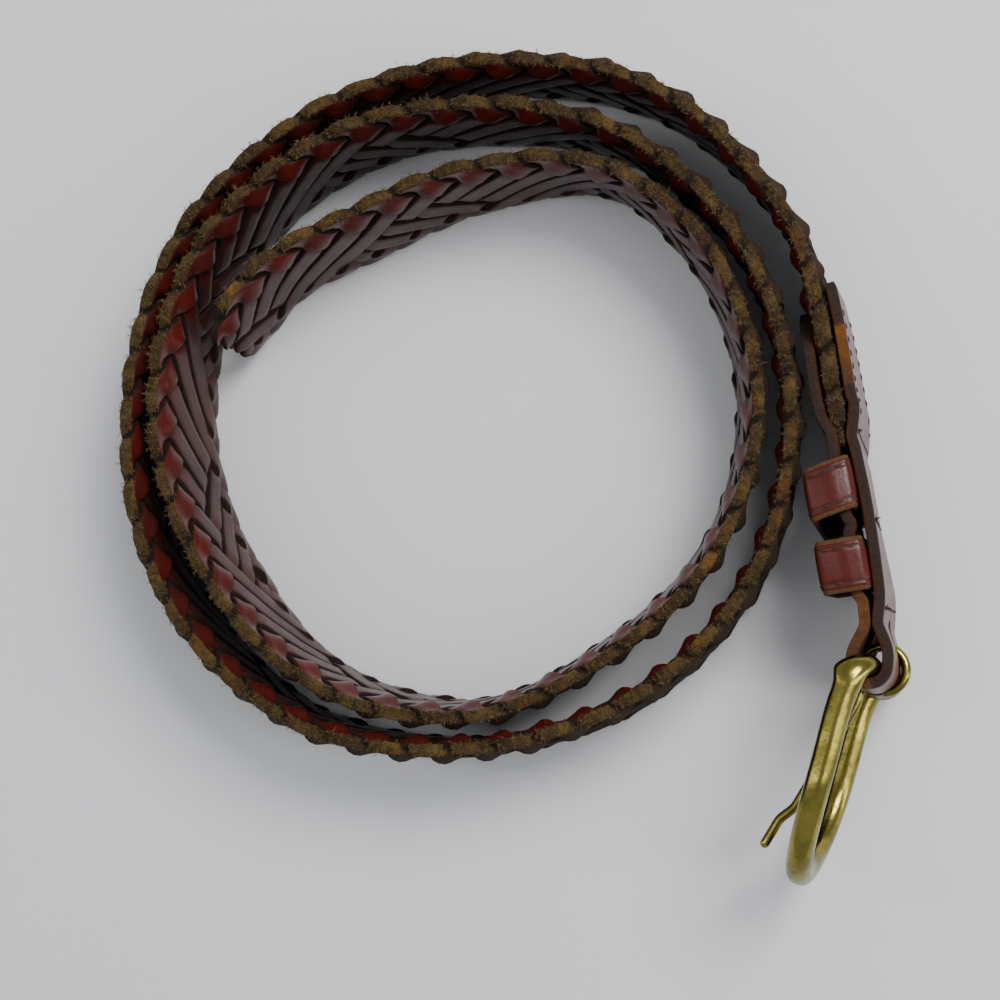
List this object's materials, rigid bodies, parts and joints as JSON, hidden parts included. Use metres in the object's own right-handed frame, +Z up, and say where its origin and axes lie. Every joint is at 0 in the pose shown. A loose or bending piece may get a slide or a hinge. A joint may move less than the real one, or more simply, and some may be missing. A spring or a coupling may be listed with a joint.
{
  "type": "braided belt",
  "caption": "Flat braided leather belt lying coiled on its long edge, with a plain leather buckle strap, two leather keepers and a brass horseshoe buckle with a wire prong.",
  "frame": {"origin": "middle of the whole belt's footprint, on the surface that it stands on", "axes": "+Z up, across the band's width; +Y runs from the buckle's end toward the coil; +X toward the side that the buckle leaves the coil from"},
  "size_m": [0.1748, 0.1818, 0.0441],
  "materials": {
    "braid_leather": "oxblood grain with raw tan edges",
    "strap_leather": "dark oxblood grain with raw edges",
    "keeper_leather": "polished red-brown grain with raw edges",
    "brass": "polished with olive tarnish"
  },
  "bodies": {
    "belt": {"braid_band": "braid_leather", "buckle_strap": "strap_leather", "keeper_by_buckle": "keeper_leather", "keeper_by_braid": "keeper_leather"},
    "buckle": {"buckle_frame": "brass"},
    "tongue": {"prong": "brass"}
  },
  "joints": [
    {"name": "buckle_hinge", "type": "hinge", "parent": "belt", "child": "buckle", "pos_m": [0.08058, -0.04556, 0.02148], "axis": [-0.1342, 0.1399, 0.981], "range_deg": [-20, 130]},
    {"name": "prong_hinge", "type": "hinge", "parent": "buckle", "child": "tongue", "pos_m": [0.08058, -0.04556, 0.02148], "axis": [-0.1342, 0.1399, 0.981], "range_deg": [-28, 5]}
  ]
}
